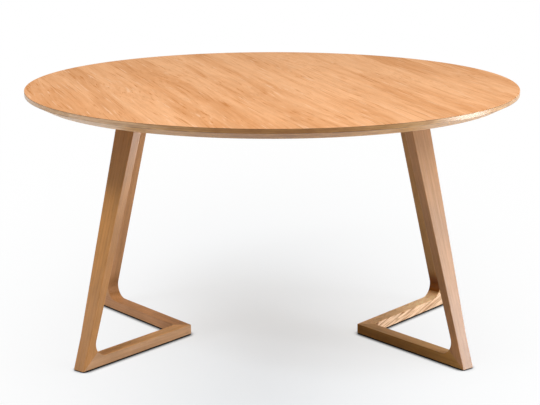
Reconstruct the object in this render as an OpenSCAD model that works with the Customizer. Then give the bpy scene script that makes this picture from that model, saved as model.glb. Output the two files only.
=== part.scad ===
// Round dining table: an undercut round top on two sled legs.
// Each leg is a V of two L-shaped frames that meet in an apex on the floor.
// Millimetres, +Z up, origin on the floor under the centre of the top.
// +X is the table's right, -Y its front.

/* [Table top] */
// Diameter of the top
top_d = 1400; // [1200:10:1600]
// Height of the top face above the floor
table_h = 750; // [700:5:790]
// Thickness of the top
top_t = 32; // [28:0.5:40]
// Height of the upright band of the rim
rim_h = 12.5; // [9:0.5:16]
// How far the rim's undercut bevel reaches inwards
bevel_in = 38; // [20:1:50]
// Width of the solid lipping under the veneer
lip_w = 62; // [58:1:90]
// Number of lipping segments in the ring
lip_count = 8; // [4:1:12]
// Thickness of the face and backing veneers
veneer_t = 1.2; // [0.6:0.1:2]
// Length of the core's tongue in the lipping
tongue_l = 9; // [5:1:14]
// Thickness of the core's tongue
tongue_t = 8; // [5:0.5:10]
// Bevel that eases the rim's upper edge
rim_ease = 0.5; // [0.2:0.1:0.5]

/* [Floor bars] */
// Distance from the table's centre to the apex of a leg
apex_x = 247; // [200:1:300]
// Angle between a floor bar and the left-right line
arm_angle = 50.5; // [46:0.5:56]
// Length of a floor bar's outer face, apex to foot
bar_l = 438; // [400:1:470]
// Width of a floor bar
bar_w = 40; // [36:1:46]
// Height of a floor bar
bar_h = 28; // [26:1:34]
// Radius of the apex's outer nose
nose_r = 4; // [3.5:0.5:8]
// Radius in the apex's inner corner
apex_r = 15; // [8:1:25]

/* [Posts] */
// How far a post leans back towards the apex over its height
post_lean = 245; // [210:1:270]
// Level thickness of a post at the floor
post_foot_t = 25.5; // [24:0.5:32]
// Level thickness of a post at the top
post_head_t = 34; // [30:0.5:42]
// Width of a post at the top
post_head_w = 75; // [64:1:84]
// Height above the floor at which a post starts to flare
flare_z = 90; // [88:1:150]
// Radius of the inside corner between a post and its bar
corner_r = 38; // [30:1:42]
// Radius of the softened long edges
arris_r = 2; // [1:0.25:3]

/* [Head rail] */
// Thickness of the head rail on top of a leg's posts
rail_t = 35; // [30:1:45]
// Wood of the head rail outside the posts
rail_margin = 12; // [8:1:20]
// Radius of the head rail's corners
rail_corner_r = 10; // [5:1:14]
// Size of the bevel round the head rail's lower edge
rail_bevel = 6; // [3:0.5:8]

/* [Joinery] */
// Length of a post's tenon
tenon_l = 24; // [18:1:27]
// Thickness of a post's tenon
tenon_t = 14; // [10:1:16]
// Width of a post's tenon
tenon_w = 46; // [30:1:52]
// Thickness of a foot spline
spline_t = 5; // [4:0.5:6]
// How far a foot spline reaches from the foot along bar and post
spline_reach = 62; // [55:1:70]
// Wood left outside a foot spline
spline_cover = 7; // [6:0.5:8]
// Length of the loose tenon in the apex
loose_l = 40; // [30:1:46]
// Width of the loose tenon in the apex
loose_w = 20; // [16:1:22]
// Thickness of the loose tenon in the apex
loose_t = 8; // [6:0.5:10]
// Clearance on every side of a glued joint
glue_gap = 0.1; // [0.05:0.05:0.2]

/* [Hardware] */
// Diameter of a leg bolt
bolt_d = 8; // [6:1:8]
// How far a leg bolt reaches into its insert
bolt_grip = 16; // [10:1:16]
// Diameter of a leg bolt's head
bolt_head_d = 14; // [12:0.5:16]
// Height of a leg bolt's head
bolt_head_h = 4.4; // [3.5:0.1:5]
// Width of a leg bolt's hexagon socket across its corners
socket_d = 5.8; // [4:0.2:7]
// Diameter of a washer
washer_d = 18; // [16:0.5:20]
// Thickness of a washer
washer_t = 1.6; // [1:0.1:2]
// Outer diameter of a threaded insert
insert_d = 12; // [11:0.5:14]
// Length of a threaded insert
insert_l = 18; // [17:1:22]
// Spacing of the leg bolts, left to right
bolt_dx = 60; // [50:1:64]
// Spacing of the leg bolts, front to back
bolt_dy = 90; // [70:1:100]
// Depth of the recess for a bolt's head
recess_h = 8; // [7:0.5:10]
// Clearance round bolts and washers in the rail
bolt_gap = 0.5; // [0.3:0.1:1]
// Diameter of a floor glide
glide_d = 22; // [16:1:28]
// Thickness of a floor glide
glide_t = 2.5; // [2:0.5:5]
// Distance of the outer glide from the foot
glide_foot = 28; // [24:1:40]
// Distance of the inner glide from the apex
glide_apex = 64; // [56:1:90]
// Diameter of a glide's nail
nail_d = 2.5; // [2:0.25:3]
// Length of a glide's nail
nail_l = 14; // [12:0.5:16]

/* [Hidden] */
$fn = 96;
over = 1;                 // reach of a cutter past the face that it cuts
top_r = top_d / 2;
under_z = table_h - top_t;
core_r = top_r - lip_w;
core_lo = under_z + veneer_t;
core_hi = table_h - veneer_t;
tongue_z = (core_lo + core_hi) / 2;
bevel_slope = bevel_in / (top_t - rim_h);
bar_z = glide_t;          // underside of the floor bars
bar_top = bar_z + bar_h;
post_rise = under_z - bar_z;
shoulder_z = under_z - rail_t;
leg_reach = bar_l + post_head_w;
mitre_reach = 3 * bar_h;   // reach of the line that parts bar and post, from the foot
socket_h = bolt_head_h / 2;
bolt_l = rail_t - recess_h + washer_t + bolt_grip;

// Faces of a post in the plane of its frame, at height z
function part_way(z) = (z - bar_z) / post_rise;
function post_out(z) = bar_l - post_lean * part_way(z);
function post_thick(z) = post_foot_t + (post_head_t - post_foot_t) * part_way(z);
function post_in(z) = post_out(z) - post_thick(z);
function post_width(z) = bar_w + (post_head_w - bar_w) * max(0, z - flare_z) / (under_z - flare_z);
function post_corner(z, inner, wide) = [inner ? post_in(z) : post_out(z), wide ? post_width(z) : 0, z];
function unit(v) = v / norm(v);

// Inside corner of the frame and its round fillet
corner = [post_in(bar_top), bar_top];
post_dir = unit([post_in(under_z) - post_in(bar_z), post_rise]);
foot_angle = acos(-post_dir.x);
fillet_tan = corner_r / tan(foot_angle / 2);
fillet_c = corner + unit(post_dir - [1, 0]) * corner_r / sin(foot_angle / 2);
fillet_bar = corner - [fillet_tan, 0];
fillet_post = corner + post_dir * fillet_tan;

// Inner corner of the apex and its fillet, on the mitre between the two bars
mitre_ray = [cos(arm_angle), sin(arm_angle)];
apex_c = mitre_ray * (bar_w + apex_r) / sin(arm_angle);
nose_c = mitre_ray * nose_r / sin(arm_angle);

// Mitre line of the foot, from the outer corner through the inside corner
foot = [bar_l, bar_z];
mitre_dir = unit(corner - foot);
mitre_end = foot + mitre_dir * mitre_reach;

// Head of a post, where it meets the head rail
head_s = (post_out(shoulder_z) + post_in(shoulder_z)) / 2;
head_n = post_width(shoulder_z) / 2;
head_x = apex_x + head_s * cos(arm_angle) + head_n * sin(arm_angle);
head_y = head_s * sin(arm_angle) - head_n * cos(arm_angle);
head_half_x = (post_thick(shoulder_z) * cos(arm_angle) + 2 * head_n * sin(arm_angle)) / 2;
head_half_y = (post_thick(shoulder_z) * sin(arm_angle) + 2 * head_n * cos(arm_angle)) / 2;
rail_w = 2 * (head_half_x + rail_margin);
rail_l = 2 * (head_y + head_half_y + rail_margin);
recess_z = shoulder_z + recess_h;
loose_cross = loose_l / 4;   // where a bar's centre line crosses the loose tenon
loose_x = apex_x + (bar_w / 2) / sin(arm_angle) + loose_cross / tan(arm_angle);

oak = "#c99562";
oak_pale = "#dcae7c";
oak_face = "#eeb280";
board = "#b99a74";
beech = "#d8b98c";
steel = "#9aa0a6";
brass = "#b9964f";
nylon = "#3b3631";

// Places a right-hand piece on the named side
module on_side(side) {
    mirror([side == "left" ? 1 : 0, 0, 0]) children();
}

// Places a piece drawn for the front half of a leg at its front or rear
module at_end(end) {
    mirror([0, end == "rear" ? 1 : 0, 0]) children();
}

// Frame coordinates: X along the bar from the apex, Y into the wood, Z up
module in_frame() {
    translate([apex_x, 0, 0]) rotate([0, 0, -arm_angle]) children();
}

// Extrudes an outline drawn in the frame's plane through the wood
module through_wood(from, to) {
    translate([0, to, 0]) rotate([90, 0, 0]) linear_extrude(to - from) children();
}

// Cutter that rounds the edge from p to q; u and v run into the two faces
module round_edge(p, q, u, v, r = arris_r) {
    d = unit(q - p);
    ux = unit(u - d * (u * d));
    vx = unit(v - d * (v * d) - ux * (v * ux));
    multmatrix([
        [ux.x, vx.x, d.x, p.x],
        [ux.y, vx.y, d.y, p.y],
        [ux.z, vx.z, d.z, p.z],
        [0, 0, 0, 1]
    ]) linear_extrude(norm(q - p)) arris_shape(r);
}

// Waste outside a round edge whose faces meet at the origin
module arris_shape(r) {
    difference() {
        translate([-over, -over]) square(r + over);
        translate([r, r]) circle(r);
    }
}

// L-shaped outline of a frame in its own plane, with its filleted corner
module frame_outline() {
    difference() {
        polygon([
            [0, bar_z], foot, [post_out(under_z), under_z], [post_in(under_z), under_z],
            fillet_post, fillet_c, fillet_bar, [0, bar_top]
        ]);
        translate(fillet_c) circle(corner_r);
    }
}

// Side of the mitre line that belongs to the bar
module bar_side() {
    polygon([[-over, bar_z - over], foot + [over, -over], foot, mitre_end, [-over, mitre_end.y]]);
}

// Side of the mitre line that belongs to the post
module post_side() {
    polygon([
        foot, foot + [over, -over], [bar_l + over, table_h], [0, table_h], [0, mitre_end.y], mitre_end
    ]);
}

// Plan of the front bar: mitred at the apex, with a nose and a filleted inner corner
module bar_plan() {
    difference() {
        polygon([[0, 0], [bar_l, 0], [bar_l, bar_w], [apex_c.x, bar_w], apex_c]);
        translate(apex_c) circle(apex_r);
        difference() {
            polygon([[-over, -over], [nose_c.x, -over], nose_c, nose_c + over * [-mitre_ray.y, mitre_ray.x]]);
            translate(nose_c) circle(nose_r);
        }
    }
}

// Outline of the blind spline across the foot's mitre
module spline_outline(gap = 0) {
    z = bar_z + spline_reach + gap;
    cover = spline_cover - gap;
    tip = foot + unit(mitre_dir) * cover / sin(foot_angle / 2);
    polygon([
        tip,
        [bar_l - spline_reach - gap, bar_z + cover],
        [bar_l - spline_reach - gap, bar_top - cover],
        corner + [-gap, gap],
        [post_in(z) + cover, z],
        [post_out(z) - cover, z]
    ]);
}

// The two splines of one foot
module foot_spline_pair(gap = 0) {
    for (n = [bar_w / 3, 2 * bar_w / 3]) {
        through_wood(n - spline_t / 2 - gap, n + spline_t / 2 + gap) spline_outline(gap);
    }
}

// Round-edged loose tenon across the apex mitre
module loose_tenon(gap = 0) {
    r = loose_t / 2 + gap;
    reach = loose_w / 2 - loose_t / 2;
    translate([loose_x, 0, bar_z + bar_h / 2]) rotate([90, 0, 0])
        linear_extrude(loose_l + 2 * gap, center = true) {
            for (x = [-reach, reach]) translate([x, 0]) circle(r);
            square([2 * reach, 2 * r], center = true);
        }
}

// Places something under each glide of the front bar
module at_glides() {
    in_frame() for (s = [bar_l - glide_foot, glide_apex]) {
        translate([s, bar_w / 2, 0]) children();
    }
}

// Places something on each bolt's axis
module at_bolts() {
    for (x = [-1, 1], y = [-1, 1]) {
        translate([head_x + x * bolt_dx / 2, y * bolt_dy / 2, 0]) children();
    }
}

module nail_bore() {
    at_glides() translate([0, 0, -over])
        cylinder(d = nail_d + 2 * glue_gap, h = nail_l + over + glue_gap);
}

module insert_bore() {
    at_bolts() translate([0, 0, under_z - over])
        cylinder(d = insert_d + 2 * glue_gap, h = insert_l + over + glue_gap);
}

// Disc of a given thickness whose edge follows the rim's undercut
module undercut_disc(lo, hi) {
    rotate_extrude() polygon([
        [0, lo], [top_r - bevel_in + (lo - under_z) * bevel_slope, lo],
        [top_r - bevel_in + (hi - under_z) * bevel_slope, hi], [0, hi]
    ]);
}

module top_core() {
    color(board) difference() {
        union() {
            translate([0, 0, core_lo]) cylinder(r = core_r, h = core_hi - core_lo);
            translate([0, 0, tongue_z - tongue_t / 2]) cylinder(r = core_r + tongue_l, h = tongue_t);
        }
        for (side = ["left", "right"]) on_side(side) insert_bore();
    }
}

module top_veneer() {
    color(oak_face) rotate_extrude() polygon([
        [0, core_hi], [top_r, core_hi], [top_r, table_h - rim_ease], [top_r - rim_ease, table_h], [0, table_h]
    ]);
}

module backing_veneer() {
    color(oak_pale) difference() {
        undercut_disc(under_z, core_lo);
        for (side = ["left", "right"]) on_side(side) insert_bore();
    }
}

// One segment of the lipping ring, grooved for the core's tongue
module lipping(i) {
    groove_r = core_r + tongue_l + glue_gap;
    groove_h = tongue_t / 2 + glue_gap;
    turn = 360 / lip_count;
    color(oak_pale) rotate([0, 0, (i - 1) * turn]) rotate_extrude(angle = turn) polygon([
        [core_r, core_lo],
        [top_r - bevel_in + veneer_t * bevel_slope, core_lo],
        [top_r, table_h - rim_h],
        [top_r, core_hi],
        [core_r, core_hi],
        [core_r, tongue_z + groove_h],
        [groove_r, tongue_z + groove_h],
        [groove_r, tongue_z - groove_h],
        [core_r, tongue_z - groove_h]
    ]);
}

// Rounds the edge of the foot's fillet on both faces of the wood
module round_foot_fillet() {
    for (inner = [0, 1]) {
        translate([fillet_c.x, inner * bar_w, fillet_c.y]) rotate([90, 0, 0]) mirror([0, 0, 1 - inner])
            rotate([0, 0, -90]) rotate_extrude(angle = 180 - foot_angle)
                translate([corner_r, 0]) arris_shape(arris_r);
    }
}

// Rounds the bar's long edges, above and below
module round_bar_edges() {
    for (z = [bar_z, bar_top], n = [0, bar_w]) {
        down = z == bar_z ? 1 : -1;
        from = n == 0 ? nose_c.x : apex_c.x;
        to = z == bar_z ? bar_l + over : fillet_bar.x;
        round_edge([from, n, z], [to, n, z], [0, n == 0 ? 1 : -1, 0], [0, 0, down]);
    }
    for (top = [0, 1]) {
        sweep_at_apex(apex_c, top) translate([apex_r, 0]) arris_shape(arris_r);
        sweep_at_apex(nose_c, top) translate([nose_r, 0]) mirror([1, 0]) arris_shape(arris_r);
    }
}

// Sweeps a cutter's shape round a plan centre near the apex, above or below the bar
module sweep_at_apex(centre, top) {
    translate([centre.x, centre.y, bar_z + top * bar_h]) mirror([0, 0, top])
        rotate([0, 0, 180]) rotate_extrude(angle = 90) children();
}

// Rounds a post's long edges, from the floor or the fillet up to the head
module round_post_edges() {
    for (inner = [false, true], wide = [false, true]) {
        stops = [inner ? fillet_post.y : bar_z - over, flare_z, shoulder_z + over];
        for (i = [0, 1]) {
            round_edge(
                post_corner(stops[i], inner, wide), post_corner(stops[i + 1], inner, wide),
                [0, wide ? -1 : 1, 0], [inner ? 1 : -1, 0, 0]
            );
        }
    }
}

module front_bar() {
    difference() {
        in_frame() intersection() {
            through_wood(-over, leg_reach) intersection() {
                frame_outline();
                bar_side();
            }
            linear_extrude(table_h) bar_plan();
        }
        in_frame() {
            round_bar_edges();
            round_foot_fillet();
            foot_spline_pair(glue_gap);
        }
        loose_tenon(glue_gap);
        nail_bore();
    }
}

module front_post() {
    in_frame() {
        difference() {
            intersection() {
                through_wood(-over, post_head_w + over) intersection() {
                    frame_outline();
                    post_side();
                    square([leg_reach, shoulder_z]);
                }
                rotate([90, 0, 90]) linear_extrude(leg_reach) polygon([
                    [0, bar_z], [bar_w, bar_z], [bar_w, flare_z], [post_head_w, under_z], [0, under_z]
                ]);
            }
            round_post_edges();
            round_foot_fillet();
            foot_spline_pair(glue_gap);
        }
        post_tenon();
    }
}

// Upright tenon on a post's head
module post_tenon(gap = 0) {
    translate([head_s - tenon_t / 2 - gap, head_n - tenon_w / 2 - gap, shoulder_z - gap])
        cube([tenon_t + 2 * gap, tenon_w + 2 * gap, tenon_l + 2 * gap]);
}

module head_rail() {
    r = rail_corner_r;
    difference() {
        translate([head_x, 0, shoulder_z]) intersection() {
            linear_extrude(rail_t) rail_plan();
            rotate([90, 0, 0]) linear_extrude(rail_l + 2 * over, center = true) rail_section(rail_w);
            rotate([90, 0, 90]) linear_extrude(rail_w + 2 * over, center = true) rail_section(rail_l);
        }
        for (end = ["front", "rear"]) at_end(end) in_frame() post_tenon(glue_gap);
        at_bolts() {
            translate([0, 0, shoulder_z - over]) cylinder(d = bolt_d + 2 * bolt_gap, h = rail_t + 2 * over);
            translate([0, 0, shoulder_z - over]) cylinder(d = washer_d + 2 * bolt_gap, h = recess_h + over);
        }
    }
}

// Plan of the head rail with round corners
module rail_plan() {
    x = rail_w / 2 - rail_corner_r;
    y = rail_l / 2 - rail_corner_r;
    square([2 * x, rail_l], center = true);
    square([rail_w, 2 * y], center = true);
    for (sx = [-1, 1], sy = [-1, 1]) translate([sx * x, sy * y]) circle(rail_corner_r);
}

// Section of the head rail, bevelled along its lower edges
module rail_section(width) {
    w = width / 2;
    polygon([
        [-w, rail_bevel], [-w + rail_bevel, 0], [w - rail_bevel, 0], [w, rail_bevel], [w, rail_t], [-w, rail_t]
    ]);
}

module foot_splines() {
    color(beech) for (end = ["front", "rear"]) at_end(end) in_frame() foot_spline_pair();
}

module apex_tenon() {
    color(beech) loose_tenon();
}

module inserts() {
    color(brass) at_bolts() translate([0, 0, under_z]) difference() {
        cylinder(d = insert_d, h = insert_l);
        translate([0, 0, -over]) cylinder(d = bolt_d + 2 * glue_gap, h = insert_l + 2 * over);
    }
}

module bolts() {
    seat = recess_z - washer_t;
    color(steel) at_bolts() translate([0, 0, seat]) difference() {
        union() {
            cylinder(d = bolt_d, h = bolt_l);
            button_head();
        }
        translate([0, 0, -bolt_head_h - over]) cylinder(d = socket_d, h = socket_h + over, $fn = 6);
    }
}

// Domed head below the seat, the cap of a sphere
module button_head() {
    r = (pow(bolt_head_d / 2, 2) + pow(bolt_head_h, 2)) / (2 * bolt_head_h);
    intersection() {
        translate([0, 0, r - bolt_head_h]) sphere(r);
        translate([0, 0, -bolt_head_h]) cylinder(d = bolt_head_d, h = bolt_head_h);
    }
}

module washers() {
    color(steel) at_bolts() translate([0, 0, recess_z - washer_t]) difference() {
        cylinder(d = washer_d, h = washer_t);
        translate([0, 0, -over]) cylinder(d = bolt_d + bolt_gap, h = washer_t + 2 * over);
    }
}

module glides() {
    color(nylon) for (end = ["front", "rear"]) at_end(end) at_glides() difference() {
        cylinder(d = glide_d, h = glide_t);
        translate([0, 0, -over]) cylinder(d = nail_d + 2 * glue_gap, h = glide_t + 2 * over);
    }
}

module glide_nails() {
    head_z = glide_t / 3;
    color(steel) for (end = ["front", "rear"]) at_end(end) at_glides() translate([0, 0, head_z])
        cylinder(d = nail_d, h = nail_l - head_z);
}

top_core();
top_veneer();
backing_veneer();
for (i = [1:lip_count]) lipping(i);
for (side = ["left", "right"]) on_side(side) {
    color(oak) front_post();
    color(oak) at_end("rear") front_post();
    color(oak) front_bar();
    color(oak) at_end("rear") front_bar();
    color(oak_pale) head_rail();
    foot_splines();
    apex_tenon();
    inserts();
    bolts();
    washers();
    glides();
    glide_nails();
}
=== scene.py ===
import math
import bpy
from mathutils import Euler, Matrix, Quaternion, Vector


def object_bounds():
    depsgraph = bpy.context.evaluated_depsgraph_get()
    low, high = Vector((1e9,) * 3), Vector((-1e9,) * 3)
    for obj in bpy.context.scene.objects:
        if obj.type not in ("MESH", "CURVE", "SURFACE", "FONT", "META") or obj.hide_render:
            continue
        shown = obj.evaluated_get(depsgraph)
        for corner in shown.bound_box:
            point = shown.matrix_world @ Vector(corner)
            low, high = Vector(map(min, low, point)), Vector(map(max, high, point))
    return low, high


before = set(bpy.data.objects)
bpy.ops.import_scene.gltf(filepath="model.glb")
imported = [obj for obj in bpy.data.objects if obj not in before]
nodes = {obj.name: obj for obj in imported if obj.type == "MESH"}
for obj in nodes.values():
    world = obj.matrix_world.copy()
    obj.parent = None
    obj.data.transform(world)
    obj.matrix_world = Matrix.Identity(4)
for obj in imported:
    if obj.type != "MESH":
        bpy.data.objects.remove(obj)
cadLow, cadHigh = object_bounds()
tableRadius = cadHigh[0]
tableTop = cadHigh[2]
print("frame loaded with", len(nodes), "pieces")

# Node helpers. A value that is a socket is linked, anything else is set on the socket.


def fill(tree, made, inputs):
    for key, value in inputs.items():
        if isinstance(value, bpy.types.NodeSocket):
            tree.links.new(value, made.inputs[key])
        else:
            made.inputs[key].default_value = value


def put(tree, kind, inputs=None, **settings):
    made = tree.nodes.new("ShaderNode" + kind)
    for name, value in settings.items():
        setattr(made, name, value)
    fill(tree, made, inputs or {})
    return made


def putGroup(tree, group, inputs):
    made = tree.nodes.new("ShaderNodeGroup")
    made.node_tree = group
    fill(tree, made, inputs)
    return made.outputs


def calc(tree, operation, first, second=0.0, clamp=False):
    return put(tree, "Math", {0: first, 1: second}, operation=operation, use_clamp=clamp).outputs[0]


def add(tree, first, second, clamp=False):
    return calc(tree, "ADD", first, second, clamp)


def times(tree, first, second):
    return calc(tree, "MULTIPLY", first, second)


# Full where the mask is empty, and empty where it is full
def opposite(tree, mask, clamp=False):
    return calc(tree, "SUBTRACT", 1.0, mask, clamp)


# Noise lies between 0 and 1, and this makes it swing round 0
def centred(tree, value):
    return calc(tree, "SUBTRACT", value, 0.5)


def axis(tree, vector, number):
    return put(tree, "SeparateXYZ", {0: vector}).outputs[number]


def vectorFrom(tree, x, y, z):
    return put(tree, "CombineXYZ", {0: x, 1: y, 2: z}).outputs[0]


def vectorCalc(tree, operation, first, second=(0, 0, 0)):
    return put(tree, "VectorMath", {0: first, 1: second}, operation=operation).outputs["Vector"]


def stretch(tree, vector, factors):
    return vectorCalc(tree, "MULTIPLY", vector, factors)


def length(tree, vector):
    return put(tree, "VectorMath", {0: vector}, operation="LENGTH").outputs["Value"]


def dot(tree, first, second):
    return put(tree, "VectorMath", {0: first, 1: second}, operation="DOT_PRODUCT").outputs["Value"]


def noise(tree, vector, size, detail=2, roughness=0.5):
    inputs = {"Vector": stretch(tree, vector, size), "Scale": 1.0, "Detail": detail, "Roughness": roughness}
    return put(tree, "TexNoise", inputs).outputs["Fac"]


# Takes value from the range low-high to 0-1, with soft ends
def smoothStep(tree, value, low, high):
    inputs = {"Value": value, "From Min": low, "From Max": high}
    return put(tree, "MapRange", inputs, interpolation_type="SMOOTHSTEP").outputs["Result"]


# The number that a mask picks between the one for its empty side and the one for its full side
def between(tree, mask, empty, full):
    return put(tree, "MapRange", {"Value": mask, "To Min": empty, "To Max": full}).outputs["Result"]


def opaque(colour):
    return (*colour, 1)


def blend(tree, factor, first, second, how="MIX"):
    made = put(tree, "Mix", {0: factor, 6: first, 7: second}, data_type="RGBA", blend_type=how)
    return made.outputs[2]


# Multiplies the colour by a tone where the mask is full
def toned(tree, mask, colour, tone):
    return blend(tree, mask, colour, opaque(tone), "MULTIPLY")


# An input is its name, kind and value, and an output its name and kind
def newGroup(name, inputs, outputs):
    tree = bpy.data.node_groups.new(name, "ShaderNodeTree")
    for label, kind, value in inputs:
        socket = tree.interface.new_socket(label, in_out="INPUT", socket_type="NodeSocket" + kind)
        socket.default_value = value
    for label, kind in outputs:
        tree.interface.new_socket(label, in_out="OUTPUT", socket_type="NodeSocket" + kind)
    source = tree.nodes.new("NodeGroupInput").outputs
    result = tree.nodes.new("NodeGroupOutput").inputs
    return tree, source, result


# Oak patterns. A size counts features in a metre, along the grain and across it. A range is the part
# of a noise, or of a ring's width, over which the pattern comes up.
oakPattern = {
    "cloudSize": (1.3, 8, 8),
    "blotchSize": (13, 32, 32),
    "driftSize": (1.1, 4.5, 4.5),
    "swaySize": (4, 15, 15), "swayShare": 0.2,
    "bandSize": (0.8, 11, 11), "bandRange": (0.38, 0.62),
    "streakSize": (2.2, 75, 75), "streakRange": (0.42, 0.66),
    "dashSize": (4, 200, 200), "dashRange": (0.6, 0.7),
    "fibreSize": (16, 480, 480), "fibreRoughness": 0.16, "fibreLift": 0.4,
    "poreSize": (45, 1500, 1500), "poreRange": (0.58, 0.68), "poreRoughness": 0.25, "latePores": 0.4,
    "fleckSize": (5, 150, 150), "fleckRange": (0.6, 0.72),
    "earlyRange": (0.0, 0.55), "nextRange": (0.86, 1.0),
}


# Oak in grain coordinates, in metres: X runs along the grain, Y and Z are measured from the tree's heart
def makeOakGroup():
    look = oakPattern
    tree, source, result = newGroup(
        "oakFigure",
        [
            ("Vector", "Vector", (0, 0, 0)), ("Late Wood", "Color", (0.6, 0.35, 0.17, 1)),
            ("Early Wood", "Color", (0.45, 0.24, 0.11, 1)), ("Pore", "Color", (0.2, 0.1, 0.05, 1)),
            ("Fleck", "Color", (0.8, 0.5, 0.3, 1)), ("Ring Width", "Float", 0.003), ("Wobble", "Float", 0.01),
            ("Rings", "Float", 0.4), ("Bands", "Float", 0.2), ("Streaks", "Float", 0.3),
            ("Dashes", "Float", 0.1), ("Fibres", "Float", 0.2), ("Clouds", "Float", 0.2),
            ("Blotches", "Float", 0.2), ("Pores", "Float", 0.5), ("Flecks", "Float", 0.3),
            ("Base Roughness", "Float", 0.4),
        ],
        [("Color", "Color"), ("Roughness", "Float"), ("Height", "Float")],
    )
    grain = source["Vector"]
    cloud = noise(tree, grain, look["cloudSize"])
    blotch = noise(tree, grain, look["blotchSize"])
    drift = noise(tree, grain, look["driftSize"], detail=1)
    sway = noise(tree, grain, look["swaySize"])
    # bands, streaks, dashes and flecks lean across the grain with the slow drift
    lean = times(tree, centred(tree, drift), source["Wobble"])
    wavy = vectorCalc(tree, "ADD", grain, vectorFrom(tree, 0.0, lean, lean))
    band = smoothStep(tree, noise(tree, wavy, look["bandSize"]), *look["bandRange"])
    wispy = noise(tree, wavy, look["streakSize"], detail=4, roughness=0.6)
    streak = smoothStep(tree, wispy, *look["streakRange"])
    dash = smoothStep(tree, noise(tree, wavy, look["dashSize"]), *look["dashRange"])
    fibre = noise(tree, grain, look["fibreSize"])
    pore = smoothStep(tree, noise(tree, grain, look["poreSize"], detail=1), *look["poreRange"])
    fleck = smoothStep(tree, noise(tree, wavy, look["fleckSize"]), *look["fleckRange"])
    # ring = the fraction of (distance from the heart, bent by the drift and the sway) / ring width
    bend = add(tree, centred(tree, drift), times(tree, centred(tree, sway), look["swayShare"]))
    fromHeart = length(tree, stretch(tree, grain, (0, 1, 1)))
    bent = add(tree, fromHeart, times(tree, bend, source["Wobble"]))
    ring = calc(tree, "FRACT", calc(tree, "DIVIDE", bent, source["Ring Width"]))
    # the early wood fades out across the ring, and comes back fast where the next one starts
    fading = opposite(tree, smoothStep(tree, ring, *look["earlyRange"]))
    early = add(tree, fading, smoothStep(tree, ring, *look["nextRange"]), clamp=True)
    # dark = the rings, bands, streaks and dashes added up, each by its own strength
    dark = 0.0
    for value, strength in ((early, "Rings"), (band, "Bands"), (streak, "Streaks"), (dash, "Dashes")):
        dark = add(tree, times(tree, value, source[strength]), dark, clamp=True)
    colour = blend(tree, dark, source["Late Wood"], source["Early Wood"])
    # shade = 1 + what the clouds, blotches and fibres add or take
    shade = 1.0
    for value, strength in ((cloud, "Clouds"), (blotch, "Blotches"), (fibre, "Fibres")):
        shade = add(tree, times(tree, centred(tree, value), source[strength]), shade)
    grey = put(tree, "CombineColor", {0: shade, 1: shade, 2: shade}).outputs[0]
    colour = blend(tree, 1.0, colour, grey, "MULTIPLY")
    colour = blend(tree, times(tree, fleck, source["Flecks"]), colour, source["Fleck"])
    # pores open mostly in the early wood
    openness = between(tree, early, look["latePores"], 1.0)
    poreMask = times(tree, times(tree, pore, openness), source["Pores"])
    colour = blend(tree, poreMask, colour, source["Pore"])
    tree.links.new(colour, result["Color"])
    rough = add(tree, times(tree, centred(tree, fibre), look["fibreRoughness"]), source["Base Roughness"])
    tree.links.new(add(tree, rough, times(tree, poreMask, look["poreRoughness"])), result["Roughness"])
    lift = calc(tree, "SUBTRACT", times(tree, fibre, look["fibreLift"]), poreMask)
    tree.links.new(lift, result["Height"])
    return tree


# Turns a place on the table into grain coordinates that run round the rim
def makeRoundTheRimGroup():
    inputs = [("Vector", "Vector", (0, 0, 0)), ("Radius", "Float", tableRadius)]
    tree, source, result = newGroup("roundTheRim", inputs, [("Vector", "Vector")])
    spot = source["Vector"]
    turn = calc(tree, "ARCTAN2", axis(tree, spot, 1), axis(tree, spot, 0))
    along = times(tree, turn, source["Radius"])
    out = length(tree, stretch(tree, spot, (1, 1, 0)))
    tree.links.new(vectorFrom(tree, along, out, axis(tree, spot, 2)), result["Vector"])
    return tree


# A level line, full at its height and fading out over its width on both sides
def makeSeamGroup():
    inputs = [
        ("Vector", "Vector", (0, 0, 0)), ("Height", "Float", 0.0),
        ("Width", "Float", 0.0004), ("Strength", "Float", 0.6),
    ]
    tree, source, result = newGroup("seamLine", inputs, [("Mask", "Float")])
    away = calc(tree, "ABSOLUTE", calc(tree, "SUBTRACT", axis(tree, source["Vector"], 2), source["Height"]))
    near = opposite(tree, calc(tree, "DIVIDE", away, source["Width"]), clamp=True)
    tree.links.new(times(tree, near, source["Strength"]), result["Mask"])
    return tree


oakFigure = makeOakGroup()
roundTheRim = makeRoundTheRimGroup()
seamLine = makeSeamGroup()
print("wood patterns made")


def newMaterial(name):
    material = bpy.data.materials.new(name)
    material.use_nodes = True
    tree = material.node_tree
    return material, tree, tree.nodes["Principled BSDF"], put(tree, "TexCoord").outputs["Object"]


def oakIn(tree, grain, look, **others):
    return putGroup(tree, oakFigure, {
        "Vector": grain, "Late Wood": opaque(look["lateWood"]), "Early Wood": opaque(look["earlyWood"]),
        "Pore": opaque(look["pore"]), "Fleck": opaque(look["fleck"]), "Ring Width": look["ringWidth"],
        "Wobble": look["wobble"], "Rings": look["rings"], "Bands": look["bands"], "Streaks": look["streaks"],
        "Dashes": look["dashes"], "Fibres": look["fibres"], "Clouds": look["clouds"],
        "Blotches": look["blotches"], "Pores": look["pores"], "Flecks": look["flecks"],
        "Base Roughness": look["roughness"], **others,
    })


def raiseGrain(tree, shader, height, look):
    bump = put(tree, "Bump", {"Height": height, "Strength": look["bump"], "Distance": look["bumpDepth"]})
    tree.links.new(bump.outputs["Normal"], shader.inputs["Normal"])


def finishOak(tree, shader, oak, colour, look):
    tree.links.new(colour, shader.inputs["Base Color"])
    tree.links.new(oak["Roughness"], shader.inputs["Roughness"])
    raiseGrain(tree, shader, oak["Height"], look)
    shader.inputs["Specular IOR Level"].default_value = look["gloss"]
    shader.inputs["Coat Weight"].default_value = look["coat"]
    shader.inputs["Coat Roughness"].default_value = look["coatRoughness"]


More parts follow.
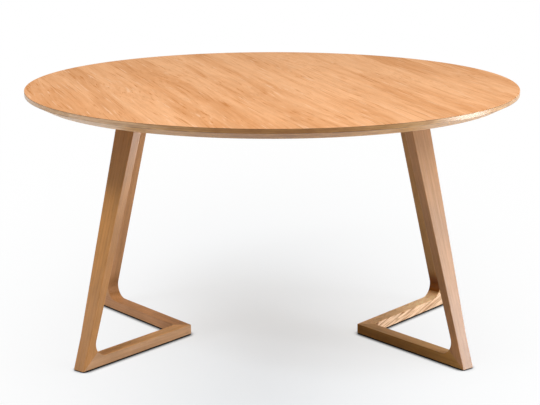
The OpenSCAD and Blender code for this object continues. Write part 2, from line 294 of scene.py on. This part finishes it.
def dress(name, material):
    slots = nodes[name].data.materials
    slots.clear()
    slots.append(material)


# Face veneer: straight leaves laid side by side, with the grain slanting across the table
topVeneer = {
    "grainAngle": -72.0, "leafWidth": 0.155, "heartDepth": 0.11, "leafSlide": 3.7,
    "lateWood": (0.95, 0.515, 0.265), "earlyWood": (0.66, 0.275, 0.095), "pore": (0.45, 0.2, 0.08),
    "fleck": (1.0, 0.64, 0.40), "ringWidth": 0.009, "wobble": 0.1, "rings": 0.06, "bands": 0.42,
    "streaks": 0.24, "dashes": 0.6, "fibres": 0.15, "clouds": 0.1, "blotches": 0.16, "pores": 0.3,
    "flecks": 0.55, "roughness": 0.5, "bump": 0.25, "bumpDepth": 0.0004, "gloss": 0.0, "coat": 0.0,
    "coatRoughness": 0.3, "edge": (0.30, 0.15, 0.065), "edgeRange": (0.2, 0.9),
}


def dressTopVeneer():
    look = topVeneer
    material, tree, shader, spot = newMaterial("oakTopVeneer")
    turn = (0, 0, math.radians(-look["grainAngle"]))
    turned = put(tree, "Mapping", {"Vector": spot, "Rotation": turn}).outputs[0]
    sideways = axis(tree, turned, 1)
    leaf = calc(tree, "FLOOR", calc(tree, "DIVIDE", sideways, look["leafWidth"]))
    middle = times(tree, add(tree, leaf, 0.5), look["leafWidth"])
    across = calc(tree, "SUBTRACT", sideways, middle)
    along = add(tree, axis(tree, turned, 0), times(tree, leaf, look["leafSlide"]))
    oak = oakIn(tree, vectorFrom(tree, along, across, look["heartDepth"]), look)
    # the veneer's thin edge is end grain, and darker
    facing = axis(tree, put(tree, "NewGeometry").outputs["Normal"], 2)
    side = opposite(tree, smoothStep(tree, facing, *look["edgeRange"]))
    colour = blend(tree, side, oak["Color"], opaque(look["edge"]))
    finishOak(tree, shader, oak, colour, look)
    dress("top_veneer", material)


dressTopVeneer()

# Lipping ring: the grain runs round the rim, and a dark broken line runs along the break, where the upright
# band ends and the bevel begins. The front shade's angle is in radians from the front, and the left sheen's
# share is a part of the table's radius, counted from the middle.
rim = {
    "heart": (0.62, 0.66), "bandHeight": 0.0125, "veneerThickness": 0.0012,
    "lateWood": (0.45, 0.22, 0.073), "earlyWood": (0.32, 0.145, 0.045), "pore": (0.16, 0.085, 0.035),
    "fleck": (0.6, 0.4, 0.22), "ringWidth": 0.006, "wobble": 0.02, "rings": 0.4, "bands": 0.2,
    "streaks": 0.35, "dashes": 0.1, "fibres": 0.25, "clouds": 0.3, "blotches": 0.0, "pores": 0.4,
    "flecks": 0.2, "roughness": 0.4, "bump": 0.25, "bumpDepth": 0.0004, "gloss": 0.2, "coat": 0.46,
    "coatRoughness": 0.26, "bevelCoat": 0.33, "bevelLightTone": (1.24, 1.19, 1.04),
    "darkLine": (0.12, 0.065, 0.03), "darkLineStrength": 0.75, "breakSoftness": 0.001,
    "breakWidth": 0.0018, "breakGaps": (14, 40, 40), "breakGapRange": (0.42, 0.56),
    "seamWidth": 0.0012, "seamGaps": (9, 60, 60), "seamGapRange": (0.4, 0.55),
    "mottleSize": (24, 90, 90), "mottleRange": (0.3, 0.7),
    "mottleDark": (0.94, 0.98, 1.0), "mottleLight": (1.19, 1.37, 1.58),
    "frontShadeTone": (0.69, 0.58, 0.44), "frontShadeAngle": (0.05, 0.55),
    "leftSheenTone": (1.16, 1.3, 1.75), "leftSheenShare": (0.15, 0.7),
}


def dressRim():
    look = rim
    breakLevel = tableTop - look["bandHeight"]
    seamLevel = tableTop - look["veneerThickness"]
    material, tree, shader, spot = newMaterial("oakRim")
    grain = putGroup(tree, roundTheRim, {"Vector": spot, "Radius": tableRadius})["Vector"]
    fromHeart = vectorCalc(tree, "ADD", grain, (0, -look["heart"][0], -look["heart"][1]))
    oak = oakIn(tree, fromHeart, look)
    mottle = smoothStep(tree, noise(tree, grain, look["mottleSize"]), *look["mottleRange"])
    mottled = blend(tree, mottle, opaque(look["mottleDark"]), opaque(look["mottleLight"]))
    colour = blend(tree, 1.0, oak["Color"], mottled, "MULTIPLY")
    # painted light: the bevel below the break is painted paler, for the light that the floor throws up on it,
    # and it is polished less
    above = smoothStep(tree, axis(tree, spot, 2), breakLevel - look["breakSoftness"], breakLevel)
    bevelLight = blend(tree, above, opaque(look["bevelLightTone"]), (1, 1, 1, 1))
    colour = blend(tree, 1.0, colour, bevelLight, "MULTIPLY")
    # painted shade: the front of the rim is painted darker, where little light reaches it
    turn = calc(tree, "DIVIDE", axis(tree, grain, 0), tableRadius)
    fromFront = calc(tree, "ABSOLUTE", add(tree, turn, math.pi / 2))
    frontShade = opposite(tree, smoothStep(tree, fromFront, *look["frontShadeAngle"]))
    colour = toned(tree, frontShade, colour, look["frontShadeTone"])
    # painted sheen: the rim is painted paler and bluer towards its left, for the reflection of the white
    # surroundings
    leftward = times(tree, axis(tree, spot, 0), -1 / tableRadius)
    colour = toned(tree, smoothStep(tree, leftward, *look["leftSheenShare"]), colour, look["leftSheenTone"])
    # dark lines along the break and along the veneer's glue line, with gaps in both
    darkLine = 0.0
    for name, level in (("break", breakLevel), ("seam", seamLevel)):
        width, strength = look[name + "Width"], look["darkLineStrength"]
        inputs = {"Vector": spot, "Height": level, "Width": width, "Strength": strength}
        mask = putGroup(tree, seamLine, inputs)["Mask"]
        kept = smoothStep(tree, noise(tree, grain, look[name + "Gaps"], detail=3), *look[name + "GapRange"])
        darkLine = add(tree, times(tree, mask, kept), darkLine, clamp=True)
    colour = blend(tree, darkLine, colour, opaque(look["darkLine"]))
    finishOak(tree, shader, oak, colour, look)
    coat = between(tree, above, look["bevelCoat"], look["coat"])
    tree.links.new(times(tree, coat, opposite(tree, darkLine)), shader.inputs["Coat Weight"])
    for name in nodes:
        if name.startswith("lipping_"):
            dress(name, material)


dressRim()
print("top and rim dressed")

# The shape that the leg frames' looks follow, as the solids have it: the angle of a bar from the X axis,
# how far a post leans back and rises, and how far the V's apex lies from the middle
legShape = {"armAngle": 50.5, "lean": 0.245, "rise": 0.7155, "apexAt": 0.247}

# Oak of the legs before its tones
legOak = {
    "lateWood": (0.62, 0.31, 0.118), "earlyWood": (0.44, 0.205, 0.068), "pore": (0.2, 0.095, 0.04),
    "fleck": (0.72, 0.45, 0.26), "ringWidth": 0.006, "wobble": 0.02, "rings": 0.18, "bands": 0.2,
    "streaks": 0.25, "dashes": 0.1, "fibres": 0.25, "clouds": 0.3, "blotches": 0.4, "pores": 0.4,
    "flecks": 0.25, "roughness": 0.3, "bump": 0.15, "bumpDepth": 0.0004, "gloss": 0.3, "coat": 0.0,
    "coatRoughness": 0.3,
}

# Leg frames: each piece is cut from its own board, and heart gives where its tree's centre lay. A piece's
# tint holds its board's own colour together with painted light and shade fitted to that piece. Each tone
# multiplies the wood's colour and is painted light or shade: edge on the narrow faces, lighter or darker as
# the light falls on them; foot and head shade by height; apex shade by the distance from the V's apex;
# corner shade in the inside corner at the foot; and inner shade on the face inside the V as far as the
# rounding at its apex, standing in for that rounding's shading. Heights and reaches are in metres.
frameWood = {
    **legOak, "edgeRings": 0.18, "edgeStreaks": 0.25, "grainTilt": 0, "fineness": (1, 1, 1),
    "broadRange": (0.4, 0.8), "edgeLightAndShade": (1, 1, 1),
    "footShadeTone": (1, 1, 1), "footShadeHeight": (0.15, 0.6), "headShadeTone": (1, 1, 1), "headShadeHeight": (0.48, 0.66),
    "innerShadeTone": (1, 1, 1), "innerShadeReach": (0.2, 0.209), "innerShadeSlant": 10.0,
    "apexShadeTone": (1, 1, 1), "apexShadeReach": (0.05, 0.36),
    "cornerShadeTone": (1, 1, 1), "cornerShadeLow": (0.032, 0.05), "cornerShadeHigh": (0.075, 0.13),
}
barFinish = {"roughness": 0.5, "gloss": 0.06}
framePieces = {
    "left_front_post": {
        "heart": (0.16, 0.05), "slide": 0.3, "boardAndLightTint": (1.05, 1.09, 1.16), "edgeLightAndShade": (0.87, 0.8, 0.59),
        "footShadeTone": (0.8, 0.73, 0.56), "footShadeHeight": (0.05, 0.6),
        "headShadeTone": (0.75, 0.72, 0.68), "headShadeHeight": (0.45, 0.64),
    },
    "left_rear_post": {
        "heart": (-0.12, 0.11), "slide": 1.7, "boardAndLightTint": (0.99, 1.08, 1.42), "cornerShadeTone": (0.72, 0.66, 0.56),
        "gloss": 0.1, "roughness": 0.5,
    },
    "right_front_post": {
        "heart": (0.14, -0.09), "slide": 2.9, "boardAndLightTint": (0.84, 0.85, 0.86), "edgeLightAndShade": (0.9, 0.94, 1.06),
        "footShadeTone": (0.75, 0.655, 0.54), "footShadeHeight": (0.0, 0.55),
        "headShadeTone": (0.9, 0.92, 1.0), "headShadeHeight": (0.25, 0.42),
        "streaks": 0.4, "edgeStreaks": 0.4, "fibres": 0.35,
    },
    "right_rear_post": {
        "heart": (-0.17, 0.03), "slide": 4.1, "boardAndLightTint": (0.9, 1.03, 1.16), "cornerShadeTone": (0.5, 0.28, 0.05),
        "headShadeTone": (0.85, 0.82, 0.86), "headShadeHeight": (0.3, 0.5), "gloss": 0.1,
    },
    "left_front_bar": {
        "heart": (0.09, 0.1), "slide": 5.3, "boardAndLightTint": (0.93, 1.12, 1.68), "edgeLightAndShade": (1.47, 1.37, 1.02),
        **barFinish,
    },
    "left_rear_bar": {
        "heart": (-0.13, 0.07), "slide": 6.7, "boardAndLightTint": (0.9, 0.96, 1.33), "edgeLightAndShade": (1.06, 0.98, 0.76),
        "cornerShadeTone": (0.6, 0.58, 0.55), **barFinish,
    },
    "right_front_bar": {
        "heart": (0.12, -0.1), "slide": 7.9, "boardAndLightTint": (0.65, 0.67, 0.53), "edgeLightAndShade": (1.86, 2.18, 3.2),
        "apexShadeTone": (0.78, 0.74, 0.7), **barFinish,
    },
    "right_rear_bar": {  # the board with the bold slanting stripes
        "heart": (-0.065, 0.3), "slide": 9.1, "boardAndLightTint": (0.88, 0.95, 1.12), "edgeLightAndShade": (1.49, 1.46, 1.22),
        "cornerShadeTone": (0.4, 0.27, 0.15), "apexShadeTone": (0.6, 0.52, 0.45), "innerShadeTone": (0.42, 0.31, 0.22),
        "grainTilt": -15, "fineness": (1.6, 2.5, 2.5), "ringWidth": 0.012, "wobble": 0.2, "rings": 0.4,
        "edgeRings": 0.1, "bands": 0.0, "streaks": 0.7, "lateWood": (1.0, 0.67, 0.39),
        "earlyWood": (0.3, 0.12, 0.03), **barFinish,
    },
}


# Three directions: the grain, along the bar or up the leaning post, then through the board towards the
# inside of the V, and across the other two
def grainAxes(name):
    sideways = -1 if name.startswith("left") else 1
    backwards = -1 if "rear" in name else 1
    arm = math.radians(legShape["armAngle"])
    out = Vector((math.cos(arm) * sideways, -math.sin(arm) * backwards, 0))
    through = Vector((math.sin(arm) * sideways, math.cos(arm) * backwards, 0))
    up = (Vector((0, 0, legShape["rise"])) - out * legShape["lean"]).normalized()
    along = out if "bar" in name else up
    return along, through, along.cross(through)


# Lays a frame piece's painted light and shade over its colour. Facing runs from 1 on the face inside the V
# to -1 on the outer one, and edge is full on the narrow faces between them.
def toneFrame(tree, colour, look, spot, facing, edge):
    # painted light and shade: the narrow faces are made lighter or darker as the light falls on them
    colour = toned(tree, edge, colour, look["edgeLightAndShade"])
    # reach = the distance from the table's middle along the bars, the same in all four quarters
    arm = math.radians(legShape["armAngle"])
    reach = dot(tree, vectorCalc(tree, "ABSOLUTE", spot), (math.cos(arm), math.sin(arm), 0))
    start = legShape["apexAt"] * math.cos(arm)
    # painted shade: the narrow faces darken towards the V's apex, under the table
    beyond = smoothStep(tree, reach, start + look["apexShadeReach"][0], start + look["apexShadeReach"][1])
    apex = times(tree, edge, opposite(tree, beyond))
    colour = toned(tree, apex, colour, look["apexShadeTone"])
    height = axis(tree, spot, 2)
    # painted shade: darker towards the floor
    foot = opposite(tree, smoothStep(tree, height, *look["footShadeHeight"]))
    colour = toned(tree, foot, colour, look["footShadeTone"])
    # the painted inner shade ends further out with height, by innerShadeSlant * height squared
    slant = times(tree, times(tree, height, height), look["innerShadeSlant"])
    past = smoothStep(tree, calc(tree, "SUBTRACT", reach, slant), *look["innerShadeReach"])
    innerShade = times(tree, smoothStep(tree, facing, *look["broadRange"]), opposite(tree, past))
    colour = toned(tree, innerShade, colour, look["innerShadeTone"])
    # painted shade: darker near the top, under the table top
    colour = toned(tree, smoothStep(tree, height, *look["headShadeHeight"]), colour, look["headShadeTone"])
    # painted shade: the inside corner at the foot is painted darker, where the rounding turns away from the
    # light
    corner = times(tree, edge, smoothStep(tree, height, *look["cornerShadeLow"]))
    corner = times(tree, corner, opposite(tree, smoothStep(tree, height, *look["cornerShadeHigh"])))
    return toned(tree, corner, colour, look["cornerShadeTone"])


def dressFramePiece(name, own):
    look = {**frameWood, **own}
    # the tint holds the board's own colour and the painted light and shade fitted to this piece
    for wood in ("lateWood", "earlyWood", "fleck"):
        look[wood] = tuple(level * factor for level, factor in zip(look[wood], look["boardAndLightTint"]))
    material, tree, shader, spot = newMaterial("oakFrame_" + name)
    axes = grainAxes(name)
    tilt = Matrix.Rotation(math.radians(look["grainTilt"]), 3, "Y")
    turn = (tilt @ Matrix(axes)).to_euler()
    shift = (look["slide"], *look["heart"])
    grain = put(tree, "Mapping", {"Vector": spot, "Rotation": turn, "Location": shift}).outputs[0]
    # the edge faces were cut across other rings than the broad faces
    facing = dot(tree, put(tree, "TexCoord").outputs["Normal"], axes[1])
    edge = opposite(tree, smoothStep(tree, calc(tree, "ABSOLUTE", facing), *look["broadRange"]))
    rings = between(tree, edge, look["rings"], look["edgeRings"])
    streaks = between(tree, edge, look["streaks"], look["edgeStreaks"])
    oak = oakIn(tree, stretch(tree, grain, look["fineness"]), look, Rings=rings, Streaks=streaks)
    colour = toneFrame(tree, oak["Color"], look, spot, facing, edge)
    finishOak(tree, shader, oak, colour, look)
    dress(name, material)


for name, own in framePieces.items():
    dressFramePiece(name, own)
print("leg frames dressed")

# Hidden and small pieces, with the angle of their grain in degrees
plainOak = {**legOak, "heart": (0.1, -0.64), "slide": 3.3, "roughness": 0.5, "gloss": 0.2}
backing = {**plainOak, "lateWood": (0.60, 0.38, 0.2), "earlyWood": (0.48, 0.28, 0.14), "slide": 0.6}
beechWood = {
    **plainOak, "lateWood": (0.68, 0.45, 0.26), "earlyWood": (0.6, 0.37, 0.2), "rings": 0.2, "pores": 0.15,
}


def dressPlainWood(name, look, grainAngle):
    material, tree, shader, spot = newMaterial("wood_" + name)
    turn = (0, 0, math.radians(grainAngle))
    shift = (look["slide"], *look["heart"])
    grain = put(tree, "Mapping", {"Vector": spot, "Rotation": turn, "Location": shift}).outputs[0]
    oak = oakIn(tree, grain, look)
    finishOak(tree, shader, oak, oak["Color"], look)
    dress(name, material)


for side in ("left", "right"):
    dressPlainWood(side + "_head_rail", plainOak, -90)
    dressPlainWood(side + "_foot_splines", beechWood, 0)
    dressPlainWood(side + "_apex_tenon", beechWood, -90)
dressPlainWood("backing_veneer", backing, 0)

# Core board: fine pressed chips, counted in a metre
coreBoard = {
    "light": (0.50, 0.36, 0.22), "dark": (0.36, 0.25, 0.15), "chips": (700, 700, 700), "roughness": 0.85,
    "bump": 0.3, "bumpDepth": 0.0003,
}


def dressCoreBoard():
    look = coreBoard
    material, tree, shader, spot = newMaterial("coreBoard")
    chip = noise(tree, spot, look["chips"], detail=3, roughness=0.7)
    colour = blend(tree, chip, opaque(look["dark"]), opaque(look["light"]))
    tree.links.new(colour, shader.inputs["Base Color"])
    shader.inputs["Roughness"].default_value = look["roughness"]
    raiseGrain(tree, shader, chip, look)
    dress("top_core", material)


dressCoreBoard()

# Metal and plastic: marks counts the finest marks in a metre, and wear says how strong they are
fittings = {
    "steel": {"colour": (0.5, 0.51, 0.53), "metal": 1.0, "roughness": 0.35, "marks": 900, "wear": 0.12},
    "brass": {"colour": (0.62, 0.45, 0.2), "metal": 1.0, "roughness": 0.4, "marks": 900, "wear": 0.1},
    "nylon": {"colour": (0.035, 0.03, 0.027), "metal": 0.0, "roughness": 0.6, "marks": 1600, "wear": 0.25},
}
fittingPieces = {
    "bolts": "steel", "washers": "steel", "glide_nails": "steel", "inserts": "brass", "glides": "nylon",
}


def makeFitting(name):
    look = fittings[name]
    material, tree, shader, spot = newMaterial(name)
    mark = noise(tree, spot, (look["marks"], look["marks"], look["marks"]), roughness=0.6)
    # the marks change the colour twice as much as the roughness
    darker = tuple(level * (1 - look["wear"] * 2) for level in look["colour"])
    colour = blend(tree, mark, opaque(darker), opaque(look["colour"]))
    tree.links.new(colour, shader.inputs["Base Color"])
    rough = add(tree, times(tree, mark, look["wear"]), look["roughness"] - look["wear"] / 2)
    tree.links.new(rough, shader.inputs["Roughness"])
    shader.inputs["Metallic"].default_value = look["metal"]
    return material


fittingMaterials = {name: makeFitting(name) for name in fittings}
for piece, name in fittingPieces.items():
    for side in ("left", "right"):
        dress(f"{side}_{piece}", fittingMaterials[name])
print("fittings dressed")

# Studio: floor, world, lamps and camera, with lengths in metres, angles in degrees and power in watts
studio = {
    "floorSize": 60.0, "floorColour": (0.8, 0.8, 0.8), "shadowPoolColour": (0.725, 0.8, 0.87), "shadowPoolShare": 0.55,
    "shadowPoolMiddle": (-0.03, -0.36), "shadowPoolReach": (0.433, 1.168), "shadowPoolFade": 1.4,
    "contactShadowColour": (0.02, 0.02, 0.02), "contactShadowReach": 0.024, "contactShadowRange": (0.45, 0.95),
    "contactShadowSamples": 16, "world": 0.03,
}
lamps = {
    "overhead": {"at": (0.5, 0.2, 4.0), "aim": (0, 0, 0.7), "size": (3.0, 3.0), "power": 49},
    "leftHigh": {"at": (-2.34, -2.5, 4.2), "aim": (-0.3, -0.2, 0.3), "size": (1.4, 1.4), "power": 138},
    "rightHigh": {"at": (2.6, -1.6, 2.4), "aim": (0.1, -0.1, 0.4), "size": (1.2, 1.2), "power": 45},
    "rightLow": {"at": (2.8, -0.6, 0.68), "aim": (0.4, -0.4, 0.3), "size": (0.9, 0.7), "power": 20},
    "rightFloor": {"at": (2.6, -0.1, 0.2), "aim": (0, -0.2, 0.4), "size": (0.9, 0.4), "power": 26},
    "leftStrip": {"at": (-2.3, -0.9, 0.4), "aim": (-0.4, -0.5, 0.74), "size": (1.8, 0.3), "power": 5.2},
}
camera = {
    "at": (0.014, -4.2564, 1.4036), "tilt": 15.044, "turn": 1.6343, "roll": 0.223, "lens": 99.765,
    "sensor": 36, "shift": (-0.0926, 0.088),
}


# Full for the rays that show the background: seen by the camera, in a reflection or through glass
def seenMask(tree, path):
    mirrored = calc(tree, "MAXIMUM", path["Is Glossy Ray"], path["Is Transmission Ray"])
    return calc(tree, "MAXIMUM", path["Is Camera Ray"], mirrored)


def matt(tree, colour):
    return put(tree, "BsdfDiffuse", {"Color": opaque(colour)}).outputs[0]


def mixShaders(tree, share, first, second):
    return put(tree, "MixShader", {0: share, 1: first, 2: second}).outputs[0]


def makeFloor():
    half = studio["floorSize"] / 2
    corners = [(-half, -half, 0), (half, -half, 0), (half, half, 0), (-half, half, 0)]
    mesh = bpy.data.meshes.new("floor")
    mesh.from_pydata(corners, [], [(0, 1, 2, 3)])
    floor = bpy.data.objects.new("floor", mesh)
    bpy.context.scene.collection.objects.link(floor)
    material = bpy.data.materials.new("whiteFloor")
    material.use_nodes = True
    tree = material.node_tree
    tree.nodes.clear()
    spot = put(tree, "TexCoord").outputs["Object"]
    paint = matt(tree, studio["floorColour"])
    # painted shadow: the shaded pool under the table is painted a little cool, so that the wood's warm light
    # on it comes out grey
    shadowPool = matt(tree, studio["shadowPoolColour"])
    white = put(tree, "Emission", {"Color": (1, 1, 1, 1), "Strength": 1.0}).outputs[0]
    # painted shadow: the pool's share = shadowPoolShare * exp(-q ** shadowPoolFade), with q the distance from
    # the pool's middle, measured in its reaches; there the lit floor shows through the white, so the shade is
    # the floor's real shading in a patch whose shape and strength are painted
    apart = vectorCalc(tree, "SUBTRACT", spot, (*studio["shadowPoolMiddle"], 0))
    away = length(tree, stretch(tree, apart, (1 / studio["shadowPoolReach"][0], 1 / studio["shadowPoolReach"][1], 0)))
    fade = calc(tree, "EXPONENT", times(tree, calc(tree, "POWER", away, studio["shadowPoolFade"]), -1.0))
    mixed = mixShaders(tree, times(tree, fade, studio["shadowPoolShare"]), white, shadowPool)
    # painted contact shadow: where something stands close over the floor, it is painted near black, right
    # under the bars
    inputs = {"Distance": studio["contactShadowReach"]}
    openSky = put(tree, "AmbientOcclusion", inputs, samples=studio["contactShadowSamples"]).outputs["AO"]
    contactShadow = opposite(tree, smoothStep(tree, openSky, *studio["contactShadowRange"]))
    mixed = mixShaders(tree, contactShadow, mixed, matt(tree, studio["contactShadowColour"]))
    path = put(tree, "LightPath").outputs
    chosen = mixShaders(tree, seenMask(tree, path), paint, mixed)
    # the camera looks through the floor from below
    below = times(tree, put(tree, "NewGeometry").outputs["Backfacing"], path["Is Camera Ray"])
    chosen = mixShaders(tree, below, chosen, put(tree, "BsdfTransparent").outputs[0])
    tree.links.new(chosen, put(tree, "OutputMaterial").inputs[0])
    mesh.materials.append(material)


def makeWorld():
    world = bpy.data.worlds.new("studio")
    bpy.context.scene.world = world
    world.use_nodes = True
    tree = world.node_tree
    background = tree.nodes["Background"].inputs
    seen = seenMask(tree, put(tree, "LightPath").outputs)
    tree.links.new(between(tree, seen, studio["world"], 1.0), background["Strength"])
    background["Color"].default_value = (1, 1, 1, 1)


def makeLamp(name, values):
    lamp = bpy.data.lights.new(name, "AREA")
    lamp.energy = values["power"]
    lamp.shape = "RECTANGLE"
    lamp.size, lamp.size_y = values["size"]
    holder = bpy.data.objects.new(name, lamp)
    holder.location = values["at"]
    aim = Vector(values["aim"]) - Vector(values["at"])
    holder.rotation_euler = aim.to_track_quat("-Z", "Y").to_euler()
    bpy.context.scene.collection.objects.link(holder)


def makeCamera():
    data = bpy.data.cameras.new("camera")
    data.sensor_width = camera["sensor"]
    data.lens = camera["lens"]
    data.shift_x, data.shift_y = camera["shift"]
    holder = bpy.data.objects.new("camera", data)
    holder.location = camera["at"]
    heading = Euler((math.radians(90 - camera["tilt"]), 0, math.radians(-camera["turn"]))).to_quaternion()
    holder.rotation_mode = "QUATERNION"
    holder.rotation_quaternion = heading @ Quaternion((0, 0, 1), math.radians(camera["roll"]))
    bpy.context.scene.collection.objects.link(holder)
    bpy.context.scene.camera = holder


makeFloor()
makeWorld()
for name, values in lamps.items():
    makeLamp(name, values)
makeCamera()
bpy.context.scene.view_settings.view_transform = "Standard"
print("studio set up")
